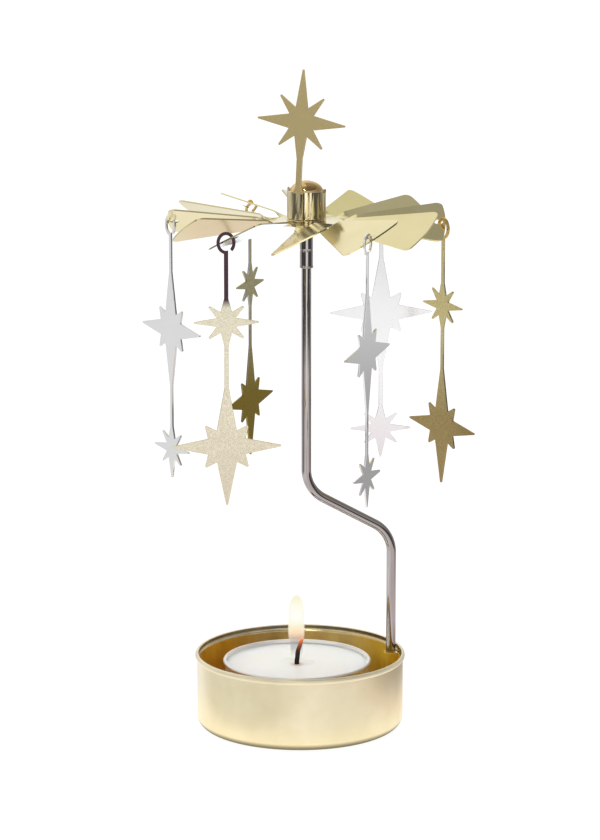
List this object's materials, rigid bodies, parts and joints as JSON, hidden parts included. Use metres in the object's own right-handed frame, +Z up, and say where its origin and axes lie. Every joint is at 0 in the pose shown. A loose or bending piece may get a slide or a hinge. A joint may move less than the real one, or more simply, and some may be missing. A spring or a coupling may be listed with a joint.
{
  "type": "candle carousel",
  "caption": "Tealight carousel: warm air turns a pitched-blade rotor on a needle over a beaded dish, and flat star charms hang and swing from its blades.",
  "frame": {"origin": "middle of the dish's flat bottom", "axes": "+Z up, along the rotor's axis, which stands 1.7 mm from the dish's middle; +X to the right and +Y away from the viewer in the picture; the wire's foot is in the dish on the +X side, 16 degrees towards +Y"},
  "size_m": [0.0851, 0.0874, 0.171],
  "materials": {
    "dish": "satin, pale gold plated",
    "wire": "polished",
    "sheet_brass": "mirror, pale",
    "hub_brass": "polished",
    "gold": "mirror, pale",
    "silver": "polished",
    "aluminium": "bright foil",
    "wax": "smooth white wax",
    "wick": "charred cotton"
  },
  "bodies": {
    "base": {"dish": "dish", "wire_stand": "wire", "pivot_sleeve": "wire", "pivot_needle": "wire"},
    "rotor": {"rotor": "sheet_brass", "hub_cap": "hub_brass", "star_topper": "gold"},
    "tealight": {"tealight_cup": "aluminium", "candle_wax": "wax", "wick_tab": "aluminium", "wick": "wick"},
    "gold_charm_1": {"gold_charm_1": "gold"},
    "silver_charm_1": {"silver_charm_1": "silver"},
    "gold_charm_2": {"gold_charm_2": "gold"},
    "silver_charm_2": {"silver_charm_2": "silver"},
    "gold_charm_3": {"gold_charm_3": "gold"},
    "silver_charm_3": {"silver_charm_3": "silver"}
  },
  "joints": [
    {"name": "rotor_spin", "type": "hinge", "parent": "base", "child": "rotor", "pos_m": [0.00163, 0.00047, 0.1418], "axis": [0, 0, 1], "continuous": true},
    {"name": "gold_charm_1_swing", "type": "hinge", "parent": "rotor", "child": "gold_charm_1", "pos_m": [0.03628, -0.00237, 0.131], "axis": [-0.8192, -0.5736, 0], "range_deg": [-25, 25]},
    {"name": "silver_charm_1_swing", "type": "hinge", "parent": "rotor", "child": "silver_charm_1", "pos_m": [0.02141, 0.02906, 0.131], "axis": [0.0872, -0.9962, 0], "range_deg": [-25, 25]},
    {"name": "gold_charm_2_swing", "type": "hinge", "parent": "rotor", "child": "gold_charm_2", "pos_m": [-0.01323, 0.03189, 0.131], "axis": [0.9063, -0.4226, 0], "range_deg": [-25, 25]},
    {"name": "silver_charm_2_swing", "type": "hinge", "parent": "rotor", "child": "silver_charm_2", "pos_m": [-0.03301, 0.0033, 0.131], "axis": [0.8192, 0.5736, 0], "range_deg": [-25, 25]},
    {"name": "gold_charm_3_swing", "type": "hinge", "parent": "rotor", "child": "gold_charm_3", "pos_m": [-0.01814, -0.02812, 0.131], "axis": [-0.0872, 0.9962, 0], "range_deg": [-25, 25]},
    {"name": "silver_charm_3_swing", "type": "hinge", "parent": "rotor", "child": "silver_charm_3", "pos_m": [0.0165, -0.03095, 0.131], "axis": [-0.9063, 0.4226, 0], "range_deg": [-25, 25]},
    {"name": "tealight_lift", "type": "slide", "parent": "base", "child": "tealight", "axis": [0, 0, 1], "range_m": [0, 0.03]}
  ]
}
